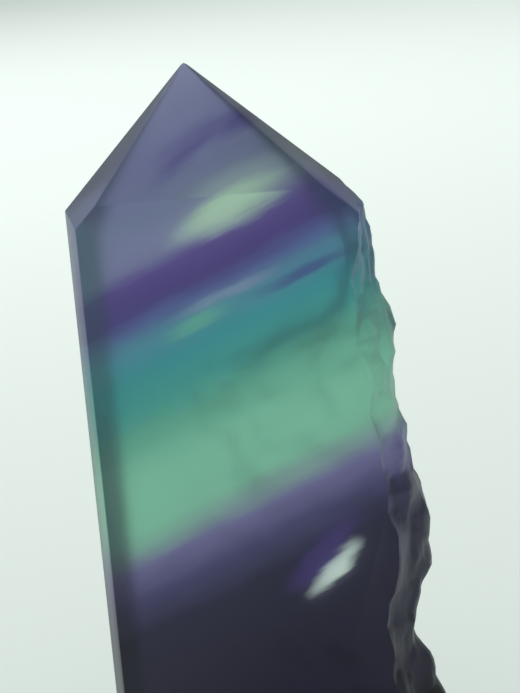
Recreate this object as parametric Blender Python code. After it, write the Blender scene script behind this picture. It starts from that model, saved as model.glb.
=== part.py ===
"""Polished banded fluorite point with one natural, unpolished side.

The stone is one solid. A polished front, back and two faces on the left stand upright, and six polished
facets lean in from them to an apex left of the middle. The rough crystal surface makes up the right side
and the lower right of the back, and the base is sawn flat. Metres, +Z up. The origin is on the base, under
the middle of the box.
"""

import bmesh
import bpy
import numpy as np
from mathutils import Euler, Matrix, Vector, noise

MM = 0.001

# Polished block: X runs to the right from the front left edge, Y to the back from the front face
HEIGHT = 88.0 * MM
DEPTH = 16.0 * MM
RIDGE_DEPTH = 9.0 * MM
FRONT_CREASE = 73.0 * MM
BACK_CREASE = 67.6 * MM
APEX = (13.8 * MM, RIDGE_DEPTH, HEIGHT)

# Corners round the shoulder. The tip facets on the left and right cut into the front face below its crease
FRONT_LEFT = (0.0, 0.0, 70.4 * MM)
CREASE_LEFT = (2.5 * MM, 0.0, FRONT_CREASE)
CREASE_RIGHT = (29.3 * MM, 0.0, FRONT_CREASE)
FRONT_RIGHT = (33.2 * MM, 0.0, 69.6 * MM)
RIGHT_RIDGE = (31.0 * MM, RIDGE_DEPTH, 72.6 * MM)
BACK_RIGHT = (27.5 * MM, DEPTH, BACK_CREASE)
BACK_LEFT = (2.0 * MM, DEPTH, BACK_CREASE)
LEFT_RIDGE = (-2.1 * MM, RIDGE_DEPTH, 71.3 * MM)

# Lap cuts, each through three points of its plane
TIP_CUTS = (
    (APEX, CREASE_LEFT, CREASE_RIGHT),
    (APEX, FRONT_RIGHT, RIGHT_RIDGE),
    (APEX, RIGHT_RIDGE, BACK_RIGHT),
    (APEX, BACK_RIGHT, BACK_LEFT),
    (APEX, BACK_LEFT, LEFT_RIDGE),
    (APEX, FRONT_LEFT, CREASE_LEFT),
)
SIDE_CUTS = (
    (FRONT_LEFT, LEFT_RIDGE, (0.0, 0.0, 0.0)),
    (LEFT_RIDGE, BACK_LEFT, (BACK_LEFT[0], DEPTH, 0.0)),
)

# How far the uncut block reaches to the left and right, past the left ridge and the natural surface
UNCUT_LEFT, UNCUT_RIGHT = -10.0 * MM, 50.0 * MM

# Natural side, in millimetres: height above the base, X where it leaves the front face, how far to the
# right it reaches, and X where it joins the back face. The last row passes outside the polished tip.
NATURAL_SIDE = (
    (-3.0, 34.8, 39.6, 25.0),
    (4.0, 34.8, 39.3, 23.0),
    (8.0, 34.8, 38.9, 21.2),
    (11.5, 34.2, 38.1, 19.6),
    (14.0, 33.4, 37.2, 18.6),
    (17.0, 32.8, 36.2, 17.6),
    (19.5, 32.4, 36.6, 16.6),
    (22.5, 33.4, 37.8, 16.2),
    (26.0, 34.6, 38.9, 15.7),
    (28.8, 34.7, 38.9, 15.1),
    (31.5, 34.8, 39.3, 14.6),
    (36.0, 34.5, 38.4, 13.6),
    (40.0, 34.0, 37.0, 12.8),
    (44.0, 33.8, 36.4, 12.3),
    (47.5, 33.4, 36.5, 11.9),
    (50.5, 32.6, 36.4, 15.0),
    (54.5, 31.9, 37.2, 25.0),
    (58.0, 31.8, 35.8, 28.6),
    (64.5, 32.2, 34.5, 29.0),
    (67.0, 32.9, 34.7, 29.2),
    (69.6, 33.2, 34.1, 29.2),
    (73.0, 31.3, 31.6, 28.5),
    (91.0, 31.3, 31.6, 28.5),
)

# Depths at which the natural side reaches furthest and turns towards the back
REACH_DEPTH = 7.0 * MM
TURN_DEPTH = 12.0 * MM
TURN_INSET = 1.8 * MM

# Distance by which the natural surface is carried on past the polished faces, so that it cuts them
OVERRUN = 5.0 * MM
FAR_LEFT = -20.0 * MM

# Relief of the natural surface: size of each kind of feature, then its height
LUMP_SIZE, LUMP_HEIGHT = 10.0 * MM, 0.4 * MM
FACET_SIZE, FACET_HEIGHT, FACET_LEVEL = 5.0 * MM, 1.1 * MM, 0.45
RIDGE_SIZE, RIDGE_LENGTH, RIDGE_HEIGHT = 3.0 * MM, 18.0 * MM, 0.7 * MM
RIDGE_LEVEL = 0.2
RELIEF_SEED = Vector((3.7, 1.9, 5.3))

# Turn of the crystal's own axes against the polished block
CRYSTAL_TURN = Euler((0.6, 0.35, 0.8)).to_matrix()

# Mesh spacing of the natural surface
RING_SPACING = 1.0 * MM
ARC_SEGMENTS = 42

BAND_GREEN = (0.16, 0.42, 0.33, 1.0)
FLUORITE_IOR = 1.434
POLISH_ROUGHNESS = 0.08


def clear_scene():
    """Remove every object, so that the file holds the stone alone."""
    for item in list(bpy.data.objects):
        bpy.data.objects.remove(item, do_unlink=True)


def link_mesh(name, bm):
    """Make an object from a bmesh, with all faces turned outwards."""
    bmesh.ops.recalc_face_normals(bm, faces=bm.faces)
    mesh = bpy.data.meshes.new(name)
    bm.to_mesh(mesh)
    bm.free()
    item = bpy.data.objects.new(name, mesh)
    bpy.context.scene.collection.objects.link(item)
    return item


def cut_flat(bm, through, inside):
    """Cut the block along the plane through three points, and keep the side that a given point is on."""
    first, second, third = (Vector(point) for point in through)
    away = (second - first).cross(third - first)
    if away.dot(inside - first) > 0:
        away.negate()
    every = bm.verts[:] + bm.edges[:] + bm.faces[:]
    made = bmesh.ops.bisect_plane(bm, geom=every, plane_co=first, plane_no=away, clear_outer=True)
    rim = [item for item in made["geom_cut"] if isinstance(item, bmesh.types.BMEdge)]
    bmesh.ops.contextual_create(bm, geom=rim)


def polished_block():
    """The block as the saw and the lap leave it, before the natural side is taken from it."""
    size = Vector((UNCUT_RIGHT - UNCUT_LEFT, DEPTH, HEIGHT))
    middle = Vector((UNCUT_LEFT, 0.0, 0.0)) + size / 2
    bm = bmesh.new()
    bmesh.ops.create_cube(bm, size=1.0, matrix=Matrix.Translation(middle) @ Matrix.Diagonal((*size, 1.0)))
    heart = Vector((APEX[0], RIDGE_DEPTH, HEIGHT / 2))
    for through in SIDE_CUTS + TIP_CUTS:
        cut_flat(bm, through, heart)
    return link_mesh("polished_block", bm)


def relief(point):
    """Height of the natural surface above its mean, at a point of space."""
    lump = noise.noise(point / LUMP_SIZE + RELIEF_SEED) * LUMP_HEIGHT
    inside = CRYSTAL_TURN @ (point / FACET_SIZE) + RELIEF_SEED
    distances, _ = noise.voronoi(inside, distance_metric="MANHATTAN")
    facet = (FACET_LEVEL - distances[0]) * FACET_HEIGHT
    along = Vector((point.x / RIDGE_SIZE, point.y / RIDGE_SIZE, point.z / RIDGE_LENGTH))
    ridge = (RIDGE_LEVEL - abs(noise.noise(along + 2 * RELIEF_SEED))) * RIDGE_HEIGHT
    return lump + facet + ridge


def carried_on(start, end):
    """The point past the end of a line, at the overrun's distance."""
    step = np.subtract(end, start)
    return tuple(end + step / np.linalg.norm(step) * OVERRUN)


def natural_arc(height):
    """Corners of the natural surface at one height, from in front of the stone round to behind it."""
    rows = np.array(NATURAL_SIDE) * MM
    front, reach, back = (np.interp(height, rows[:, 0], rows[:, k]) for k in (1, 2, 3))
    leaves_front = (front, 0.0)
    furthest = (reach, REACH_DEPTH)
    turn = (reach - TURN_INSET, TURN_DEPTH)
    joins_back = (back, DEPTH)
    return np.array((
        carried_on(furthest, leaves_front),
        leaves_front,
        furthest,
        turn,
        joins_back,
        carried_on(turn, joins_back),
    ))


def smooth_path(corners, count):
    """Points at even spacing on a path through the corners, with its bends rounded off."""
    lengths = np.linalg.norm(np.diff(corners, axis=0), axis=1)
    travelled = np.concatenate(([0.0], np.cumsum(lengths)))
    even = np.linspace(0.0, travelled[-1], count)
    path = np.column_stack([np.interp(even, travelled, corners[:, k]) for k in (0, 1)])
    for _ in range(3):
        path[1:-1] = (path[:-2] + 2 * path[1:-1] + path[2:]) / 4
    return path


def rough_crystal():
    """The crystal as it was found: its natural surface on the right, and far outside the cuts elsewhere."""
    lowest, highest = NATURAL_SIDE[0][0] * MM, NATURAL_SIDE[-1][0] * MM
    levels = int((highest - lowest) / RING_SPACING)
    bm = bmesh.new()
    rings = []
    for height in np.linspace(lowest, highest, levels):
        path = smooth_path(natural_arc(height), ARC_SEGMENTS + 1)
        along = np.gradient(path, axis=0)
        outward = np.column_stack((along[:, 1], -along[:, 0]))
        outward /= np.linalg.norm(outward, axis=1)[:, None]
        ring = []
        for (x, y), (out_x, out_y) in zip(path, outward):
            lift = relief(Vector((x, y, height)))
            ring.append(bm.verts.new((x + out_x * lift, y + out_y * lift, height)))
        ring.append(bm.verts.new((FAR_LEFT, DEPTH + 2 * OVERRUN, height)))
        ring.append(bm.verts.new((FAR_LEFT, -2 * OVERRUN, height)))
        rings.append(ring)
    size = len(rings[0])
    for lower, upper in zip(rings[:-1], rings[1:]):
        for this in range(size):
            following = (this + 1) % size
            bm.faces.new((lower[this], lower[following], upper[following], upper[this]))
    bm.faces.new(rings[0])
    bm.faces.new(rings[-1])
    bmesh.ops.triangulate(bm, faces=bm.faces)
    return link_mesh("rough_crystal", bm)


def shared_solid(block, crystal, name):
    """The solid that the cut block and the rough crystal have in common, centred over the origin."""
    cut = block.modifiers.new("natural side", "BOOLEAN")
    cut.operation = "INTERSECT"
    cut.solver = "EXACT"
    cut.object = crystal
    evaluated = block.evaluated_get(bpy.context.evaluated_depsgraph_get())
    bm = bmesh.new()
    bm.from_mesh(evaluated.to_mesh())
    evaluated.to_mesh_clear()
    for item in (block, crystal):
        bpy.data.objects.remove(item, do_unlink=True)
    bmesh.ops.remove_doubles(bm, verts=bm.verts, dist=0.02 * MM)
    bmesh.ops.dissolve_degenerate(bm, edges=bm.edges, dist=0.01 * MM)
    bmesh.ops.triangulate(bm, faces=bm.faces)
    corners = np.array([vert.co for vert in bm.verts])
    middle = (corners.min(axis=0) + corners.max(axis=0)) / 2
    bmesh.ops.translate(bm, verts=bm.verts, vec=(-middle[0], -middle[1], 0.0))
    return link_mesh(name, bm)


def fluorite():
    """Clear fluorite in the mean colour of its bands."""
    material = bpy.data.materials.new("fluorite")
    material.use_nodes = True
    shader = material.node_tree.nodes["Principled BSDF"]
    shader.inputs["Base Color"].default_value = BAND_GREEN
    shader.inputs["Metallic"].default_value = 0.0
    shader.inputs["Roughness"].default_value = POLISH_ROUGHNESS
    shader.inputs["IOR"].default_value = FLUORITE_IOR
    shader.inputs["Transmission Weight"].default_value = 1.0
    return material


clear_scene()
stone = shared_solid(polished_block(), rough_crystal(), "fluorite_point")
stone.data.materials.append(fluorite())
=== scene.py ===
"""Looks of the polished banded fluorite point: surface, bands, floor, light and camera."""

import math

import bmesh
import bpy
from mathutils import Matrix, Vector

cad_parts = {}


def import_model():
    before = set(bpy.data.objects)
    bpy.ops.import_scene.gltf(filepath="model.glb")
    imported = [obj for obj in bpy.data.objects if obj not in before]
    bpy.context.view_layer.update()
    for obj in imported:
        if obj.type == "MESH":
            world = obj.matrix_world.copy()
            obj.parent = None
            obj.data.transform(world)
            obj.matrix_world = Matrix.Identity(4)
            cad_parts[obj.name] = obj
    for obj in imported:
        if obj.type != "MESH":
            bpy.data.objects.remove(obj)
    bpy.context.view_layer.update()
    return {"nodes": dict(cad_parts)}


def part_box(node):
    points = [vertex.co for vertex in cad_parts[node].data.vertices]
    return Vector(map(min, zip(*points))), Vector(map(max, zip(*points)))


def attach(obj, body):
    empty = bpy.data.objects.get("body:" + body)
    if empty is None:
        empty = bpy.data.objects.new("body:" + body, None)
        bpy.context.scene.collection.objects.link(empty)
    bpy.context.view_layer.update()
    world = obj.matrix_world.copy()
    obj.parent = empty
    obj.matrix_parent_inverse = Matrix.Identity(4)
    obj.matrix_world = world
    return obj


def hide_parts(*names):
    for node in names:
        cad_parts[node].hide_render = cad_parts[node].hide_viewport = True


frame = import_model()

MM = 0.001

# Foot of the front left edge, which stands a little to the right of the left ridge
LEFT_RIDGE_REACH = 2.1 * MM
BOX_LOW = Vector(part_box("fluorite_point")[0])
CORNER = Vector((BOX_LOW.x + LEFT_RIDGE_REACH, BOX_LOW.y, 0.0))

# Camera: where it looks, from which side, and how far the picture leans
AIM = CORNER + Vector((19.68, 10.5, 52.57)) * MM
AZIMUTH, ELEVATION = math.radians(3.0), math.radians(12.0)
DISTANCE = 300.0 * MM
LEAN = math.radians(5.25)
SENSOR, LENS = 36.0, 170.7


def link(name, mesh):
    """Put a mesh in the scene as an object."""
    item = bpy.data.objects.new(name, mesh)
    bpy.context.scene.collection.objects.link(item)
    return item


# Mesh of the stone

COPLANAR = math.radians(0.2)
POLISHED_AREA = 12 * MM * MM
POLISHED_CORNER = math.radians(8)
EDGE_WIDTH, EDGE_STEPS = 0.22 * MM, 2
NATURAL_CUTS = 2
NATURAL_SHARP, POLISHED_SHARP = math.radians(50), math.radians(12)


def find_polished(bm):
    """Join the triangles of each flat polished face, and give the faces found."""
    bmesh.ops.dissolve_limit(bm, angle_limit=COPLANAR, verts=bm.verts, edges=bm.edges)
    return [face for face in bm.faces if face.calc_area() > POLISHED_AREA]


def round_polished_edges(bm, polished):
    """Give the edges between polished faces the narrow round that a lap leaves."""
    kept = set(polished)
    edges = [
        edge for edge in bm.edges
        if len(edge.link_faces) == 2
        and all(face in kept for face in edge.link_faces)
        and edge.calc_face_angle(0.0) > POLISHED_CORNER
    ]
    made = bmesh.ops.bevel(
        bm, geom=edges, offset=EDGE_WIDTH, offset_type="WIDTH", segments=EDGE_STEPS,
        profile=0.5, affect="EDGES", clamp_overlap=False,
    )
    return made["faces"]


def stone_mesh():
    """The stone's mesh: flat polished faces with rounded edges, and the natural side in smaller faces."""
    bm = bmesh.new()
    bm.from_mesh(frame["nodes"]["fluorite_point"].data)
    bmesh.ops.remove_doubles(bm, verts=bm.verts, dist=0.001 * MM)
    polished = find_polished(bm)
    rounds = round_polished_edges(bm, polished)
    polished = {face for face in bm.faces if face.calc_area() > POLISHED_AREA}
    rounds = {face for face in rounds if face.is_valid}
    natural = bm.faces.layers.float.new("natural")
    rough = [face for face in bm.faces if face not in polished and face not in rounds]
    for face in rough:
        face[natural] = 1.0
    edges = {edge for face in rough for edge in face.edges}
    bmesh.ops.subdivide_edges(bm, edges=list(edges), cuts=NATURAL_CUTS, use_grid_fill=True)
    bmesh.ops.triangulate(bm, faces=[f for f in bm.faces if f[natural] < 0.5 and len(f.verts) > 4])
    for face in bm.faces:
        face.smooth = True
    for edge in bm.edges:
        if len(edge.link_faces) == 2:
            one, other = (face[natural] for face in edge.link_faces)
            limit = NATURAL_SHARP if one > 0.5 and other > 0.5 else POLISHED_SHARP
            edge.smooth = edge.calc_face_angle(0.0) < limit
    mesh = bpy.data.meshes.new("fluorite_stone")
    bm.to_mesh(mesh)
    bm.free()
    return mesh


# Bands

# Point in front of the stone that the bands run towards, so that their traces on the front and back meet
# when the stone is seen from the front: its place on the front face in mm, and its distance from that face
EYE = Vector((35.0, 0.0, 114.9))
EYE_DEPTH = 405.0


class Tree:
    """Short forms for making and joining a material's nodes."""

    def __init__(self, material):
        material.use_nodes = True
        self.tree = material.node_tree
        self.nodes = self.tree.nodes

    def link(self, source, target):
        self.tree.links.new(source, target)

    def put(self, target, value):
        if isinstance(value, bpy.types.NodeSocket):
            self.link(value, target)
        else:
            target.default_value = value

    def node(self, kind, **settings):
        made = self.nodes.new(kind)
        for name, value in settings.items():
            setattr(made, name, value)
        return made

    def maths(self, operation, *values, clamp=False):
        made = self.node("ShaderNodeMath", operation=operation, use_clamp=clamp)
        for target, value in zip(made.inputs, values):
            self.put(target, value)
        return made.outputs[0]

    def vector(self, operation, *values):
        made = self.node("ShaderNodeVectorMath", operation=operation)
        for target, value in zip(made.inputs, values):
            self.put(target, value)
        return made.outputs["Value" if operation in ("LENGTH", "DOT_PRODUCT") else "Vector"]

    def scaled(self, vector, amount):
        made = self.node("ShaderNodeVectorMath", operation="SCALE")
        self.put(made.inputs[0], vector)
        self.put(made.inputs["Scale"], amount)
        return made.outputs[0]

    def mapped(self, vector, place, turn, size):
        made = self.node("ShaderNodeMapping", vector_type="TEXTURE")
        self.link(vector, made.inputs["Vector"])
        made.inputs["Location"].default_value = place
        made.inputs["Rotation"].default_value = turn
        made.inputs["Scale"].default_value = size
        return made.outputs[0]

    def ranged(self, value, low, high, to_low=0.0, to_high=1.0, smooth=True):
        made = self.node("ShaderNodeMapRange", interpolation_type="SMOOTHSTEP" if smooth else "LINEAR")
        self.put(made.inputs["Value"], value)
        for name, number in (("From Min", low), ("From Max", high), ("To Min", to_low), ("To Max", to_high)):
            self.put(made.inputs[name], number)
        return made.outputs[0]

    def noise(self, vector, scale, detail=3.0, roughness=0.5, output="Fac"):
        made = self.node("ShaderNodeTexNoise")
        self.link(vector, made.inputs["Vector"])
        made.inputs["Scale"].default_value = scale
        made.inputs["Detail"].default_value = detail
        made.inputs["Roughness"].default_value = roughness
        return made.outputs[output]

    def mix(self, share, first, second, blend="MIX"):
        made = self.node("ShaderNodeMix", data_type="RGBA", blend_type=blend)
        for place, value in ((0, share), (6, first), (7, second)):
            self.put(made.inputs[place], value)
        return made.outputs[2]

    def ramp(self, value, stops):
        made = self.node("ShaderNodeValToRGB")
        self.put(made.inputs["Fac"], value)
        elements = made.color_ramp.elements
        for place, colour in stops[1:-1]:
            elements.new(place).color = (*colour, 1.0)
        elements[0].position, elements[0].color = stops[0][0], (*stops[0][1], 1.0)
        elements[-1].position, elements[-1].color = stops[-1][0], (*stops[-1][1], 1.0)
        return made.outputs["Color"]


# Colour of the stone at each level in mm, measured up the front left edge. The bands rise to the right. The
# lowest, near-black levels are partly the stone's dark violet and partly painted shade, where the light from
# behind is blocked
BAND_SLOPE = 0.43
BANDS_AND_PAINTED_SHADE = (
    # painted shade over dark violet: the two lowest, near-black levels
    (10, (0.015, 0.012, 0.035)),
    (19, (0.02, 0.018, 0.05)),
    (23, (0.06, 0.055, 0.15)),
    (27, (0.17, 0.15, 0.33)),
    (29, (0.22, 0.34, 0.34)),
    (31.5, (0.22, 0.52, 0.38)),
    (38, (0.21, 0.52, 0.38)),
    (43, (0.12, 0.38, 0.29)),
    (46, (0.06, 0.31, 0.29)),
    (50, (0.045, 0.27, 0.31)),
    (53, (0.08, 0.25, 0.34)),
    (55.5, (0.09, 0.12, 0.30)),
    (57.5, (0.07, 0.045, 0.20)),
    (61, (0.10, 0.07, 0.26)),
    (63, (0.20, 0.21, 0.37)),
    (68, (0.18, 0.20, 0.34)),
    (72, (0.21, 0.21, 0.42)),
    (85, (0.34, 0.34, 0.55)),
)

# Bands and lenses laid over the succession: middle X and Z in mm, slope in degrees, half length, half
# width, share of the width that is soft, colour, strength
LENSES = (
    ((19.0, 71.8), 24, 11.0, 2.6, 0.7, (0.44, 0.62, 0.48), 1.0),
    ((14.5, 78.3), 36, 9.0, 1.6, 0.9, (0.09, 0.07, 0.28), 0.9),
    ((22.0, 82.5), 36, 7.0, 1.7, 0.6, (0.08, 0.06, 0.27), 0.9),
    ((17.0, 61.5), 22, 9.0, 1.0, 0.9, (0.26, 0.30, 0.46), 0.8),
    ((26.0, 63.5), 22, 9.0, 0.8, 0.9, (0.06, 0.07, 0.24), 0.9),
    ((13.0, 58.2), 23, 6.0, 1.2, 0.9, (0.13, 0.40, 0.31), 0.9),
    ((4.0, 36.0), 20, 9.0, 7.0, 0.9, (0.24, 0.56, 0.40), 0.7),
    ((27.0, 27.5), 44, 5.5, 1.6, 0.6, (0.70, 0.80, 0.76), 1.0),
    ((25.5, 29.0), 44, 8.0, 1.9, 0.6, (0.05, 0.03, 0.16), 0.9),
)


def stone_colour(tree):
    """Colour of the bands at a point of the stone, with painted shade in the near-black lowest levels."""
    place = tree.node("ShaderNodeTexCoord").outputs["Object"]
    local = tree.scaled(tree.vector("SUBTRACT", place, CORNER), 1 / MM)
    parts = tree.node("ShaderNodeSeparateXYZ")
    tree.link(local, parts.inputs[0])
    depth = parts.outputs["Y"]
    shrink = tree.maths("DIVIDE", EYE_DEPTH, tree.maths("ADD", depth, EYE_DEPTH))
    flat = tree.vector("ADD", tree.scaled(tree.vector("SUBTRACT", local, EYE), shrink), EYE)
    split = tree.node("ShaderNodeSeparateXYZ")
    tree.link(flat, split.inputs[0])
    plane = tree.node("ShaderNodeCombineXYZ")
    tree.link(split.outputs["X"], plane.inputs["X"])
    tree.link(split.outputs["Z"], plane.inputs["Y"])
    plain = plane.outputs[0]
    stretched = tree.mapped(plain, (0, 0, 0), (0, 0, math.radians(23)), (14.0, 2.4, 1.0))
    wave = tree.vector("SUBTRACT", tree.noise(stretched, 1.0, 5.0, 0.6, "Color"), (0.5, 0.5, 0.5))
    warped = tree.vector("ADD", plain, tree.vector("MULTIPLY", wave, (4.0, 3.0, 0.0)))
    along = tree.node("ShaderNodeSeparateXYZ")
    tree.link(warped, along.inputs[0])
    level = tree.maths("SUBTRACT", along.outputs["Y"], tree.maths("MULTIPLY", along.outputs["X"], BAND_SLOPE))
    # ramp of the band colours, whose near-black low end is partly painted shade
    low, high = BANDS_AND_PAINTED_SHADE[0][0], BANDS_AND_PAINTED_SHADE[-1][0]
    share = tree.ranged(level, low, high, smooth=False)
    colour = tree.ramp(share, [((at - low) / (high - low), tint) for at, tint in BANDS_AND_PAINTED_SHADE])
    for (x, z), slope, length, width, soft, tint, strength in LENSES:
        inside = tree.mapped(warped, (x, z, 0), (0, 0, math.radians(slope)), (length, width, 1.0))
        reach = tree.vector("LENGTH", inside)
        mask = tree.ranged(reach, 1.0, 1.0 - soft, 0.0, strength)
        colour = tree.mix(mask, colour, (*tint, 1.0))
    return colour


def banded_fluorite():
    """Clear banded fluorite, polished where the stone was lapped and frosted on its natural side."""
    material = bpy.data.materials.new("banded_fluorite")
    tree = Tree(material)
    shader = tree.nodes["Principled BSDF"]
    natural = tree.node("ShaderNodeAttribute", attribute_name="natural").outputs["Fac"]
    tree.link(stone_colour(tree), shader.inputs["Base Color"])
    tree.link(tree.ranged(natural, 0.0, 1.0, 0.02, 0.4), shader.inputs["Roughness"])
    shader.inputs["IOR"].default_value = 1.434
    shader.inputs["Transmission Weight"].default_value = 1.0
    return material


def floor():
    bm = bmesh.new()
    bmesh.ops.create_grid(bm, x_segments=1, y_segments=1, size=6.0)
    mesh = bpy.data.meshes.new("floor")
    bm.to_mesh(mesh)
    bm.free()
    item = link("floor", mesh)
    material = bpy.data.materials.new("floor")
    tree = Tree(material)
    shader = tree.nodes["Principled BSDF"]
    shader.inputs["Base Color"].default_value = (0.80, 0.87, 0.83, 1.0)
    shader.inputs["Roughness"].default_value = 0.9
    mesh.materials.append(material)


def world():
    made = bpy.data.worlds.new("pale_surround")
    bpy.context.scene.world = made
    made.use_nodes = True
    back = made.node_tree.nodes["Background"]
    back.inputs["Color"].default_value = (0.93, 1.0, 0.96, 1.0)
    back.inputs["Strength"].default_value = 0.45


def softbox(name, place, aim, size, power):
    data = bpy.data.lights.new(name, "AREA")
    data.shape = "RECTANGLE"
    data.size, data.size_y = size
    data.energy = power
    item = bpy.data.objects.new(name, data)
    bpy.context.scene.collection.objects.link(item)
    item.location = place
    item.rotation_euler = (Vector(aim) - Vector(place)).to_track_quat("-Z", "Y").to_euler()


def camera():
    data = bpy.data.cameras.new("camera")
    data.sensor_fit = "HORIZONTAL"
    data.sensor_width = SENSOR
    data.lens = LENS
    data.clip_start, data.clip_end = 0.01, 50.0
    item = bpy.data.objects.new("camera", data)
    bpy.context.scene.collection.objects.link(item)
    level_reach = math.cos(ELEVATION)
    back = Vector((math.sin(AZIMUTH) * level_reach, -math.cos(AZIMUTH) * level_reach, math.sin(ELEVATION)))
    level = (-back).to_track_quat("-Z", "Y").to_matrix()
    turn = Matrix.Rotation(-LEAN, 3, "Z")
    item.matrix_world = Matrix.Translation(AIM + back * DISTANCE) @ (level @ turn).to_4x4()
    bpy.context.scene.camera = item


stone = link("fluorite_stone", stone_mesh())
stone.data.materials.append(banded_fluorite())
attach(stone, "root")
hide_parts("fluorite_point")

floor()
world()
softbox("window", (-0.3, 0.8, 1.1), (0, 0.3, 0), (0.8, 0.8), 11.5)
camera()
bpy.context.scene.view_settings.view_transform = "Standard"
